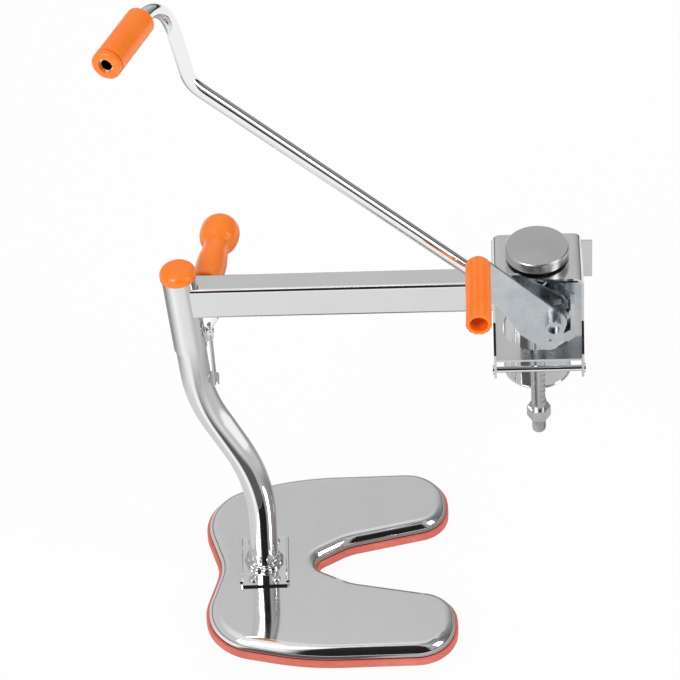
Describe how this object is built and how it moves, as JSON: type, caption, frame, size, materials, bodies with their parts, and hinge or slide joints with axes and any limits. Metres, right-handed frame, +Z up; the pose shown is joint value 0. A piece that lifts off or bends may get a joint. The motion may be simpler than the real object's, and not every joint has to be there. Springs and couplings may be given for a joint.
{
  "type": "hand cranked pasta extruder",
  "caption": "Table-top hand press for pasta: horseshoe base, bent column, arm, ratchet lever with crank grips, toothed rack and a tube-shaped barrel.",
  "frame": {"origin": "on the table, straight under the centre of the column's foot", "axes": "+Z up; +X along the arm from the column to the head; -Y is the side where the operator and the lever are"},
  "size_m": [0.4779, 0.3212, 0.8419],
  "materials": {
    "chrome_plate": "polished",
    "bottom_sheet": "satin",
    "rubber_strip": "matte",
    "screw_steel": "satin",
    "rod_steel": "satin",
    "orange_plastic": "gloss",
    "bush_brass": "satin",
    "disc_zinc": "satin",
    "lever_zinc": "satin",
    "latch_steel": "satin",
    "spring_steel": "satin"
  },
  "bodies": {
    "root": {"base_cover": "chrome_plate", "base_bottom_plate": "bottom_sheet", "base_edge_strip": "rubber_strip", "foot_plate": "chrome_plate", "foot_backing_plate": "bottom_sheet", "foot_screws": "screw_steel", "foot_nuts": "screw_steel", "lower_column": "chrome_plate", "upper_column": "chrome_plate", "column_cap": "orange_plastic", "arm": "chrome_plate", "rear_grip": "orange_plastic", "rear_grip_stud": "screw_steel", "head_housing": "chrome_plate", "rack_guide_bush": "bush_brass", "barrel_carrier": "chrome_plate", "cross_rod": "rod_steel", "barrel": "chrome_plate", "shaft_bracket": "lever_zinc", "holding_pawl_pin": "rod_steel", "holding_pawl_spring": "spring_steel", "latch_bracket": "latch_steel", "latch_pin": "latch_steel", "latch_catch": "latch_steel"},
    "rack": {"rack_rod": "rod_steel", "rack_nut": "screw_steel", "rack_disc": "disc_zinc"},
    "pinion": {"pinion_shaft": "rod_steel", "drive_pinion": "rod_steel", "ratchet_wheel": "rod_steel", "shaft_clip": "screw_steel"},
    "lever": {"lever_channel": "lever_zinc", "lever_socket": "lever_zinc", "lever_rod": "chrome_plate", "pawl_pin": "rod_steel", "short_handle_stud": "rod_steel"},
    "long_handle_grip": {"lever_grip": "orange_plastic"},
    "short_handle_grip": {"short_grip": "orange_plastic"},
    "drive_pawl_body": {"drive_pawl": "lever_zinc"},
    "holding_pawl_body": {"holding_pawl": "lever_zinc"},
    "latch_lever_body": {"latch_lever": "latch_steel"},
    "latch_link_body": {"latch_link": "latch_steel"}
  },
  "joints": [
    {"name": "rack_slide", "type": "slide", "parent": "root", "child": "rack", "axis": [-0.0437, -0.0022, 0.999], "range_m": [0, 0.085]},
    {"name": "pinion_spin", "type": "hinge", "parent": "root", "child": "pinion", "pos_m": [0.30683, -0.02307, 0.4486], "axis": [0.0609, 0.9981, 0.0049], "range_deg": [0, 508]},
    {"name": "lever_swing", "type": "hinge", "parent": "root", "child": "lever", "pos_m": [0.30354, -0.07697, 0.44834], "axis": [-0.0609, -0.9981, -0.0049], "range_deg": [-30, 50]},
    {"name": "long_handle_grip_spin", "type": "hinge", "parent": "lever", "child": "long_handle_grip", "pos_m": [-0.1122, -0.16283, 0.82655], "axis": [-0.395, -0.9185, -0.0193], "continuous": true},
    {"name": "short_handle_grip_spin", "type": "hinge", "parent": "lever", "child": "short_handle_grip", "pos_m": [0.22303, -0.13354, 0.52277], "axis": [-0.0609, -0.9981, -0.0049], "continuous": true},
    {"name": "drive_pawl_swing", "type": "hinge", "parent": "lever", "child": "drive_pawl_body", "pos_m": [0.30009, -0.07663, 0.42216], "axis": [0.0609, 0.9981, 0.0049], "range_deg": [0, 10], "stiffness_Nm_per_rad": 0.1, "springref_deg": -20.05},
    {"name": "holding_pawl_swing", "type": "hinge", "parent": "root", "child": "holding_pawl_body", "pos_m": [0.32466, -0.02411, 0.43837], "axis": [-0.0609, -0.9981, -0.0049], "range_deg": [0, 20], "stiffness_Nm_per_rad": 0.05, "springref_deg": -17.19},
    {"name": "latch_lever_swing", "type": "hinge", "parent": "root", "child": "latch_lever_body", "pos_m": [-0.0437, 0, 0.36693], "axis": [0, 1, 0], "range_deg": [0, 80]},
    {"name": "latch_link_swing", "type": "hinge", "parent": "latch_lever_body", "child": "latch_link_body", "pos_m": [-0.04484, 0, 0.37486], "axis": [0, 1, 0], "range_deg": [-76, 0]}
  ],
  "couplings": [
    {"joint": "pinion_spin", "follows": "rack_slide", "rad_per_m": 104.17},
    {"joint": "latch_link_swing", "follows": "latch_lever_swing", "ratio": -0.92}
  ]
}
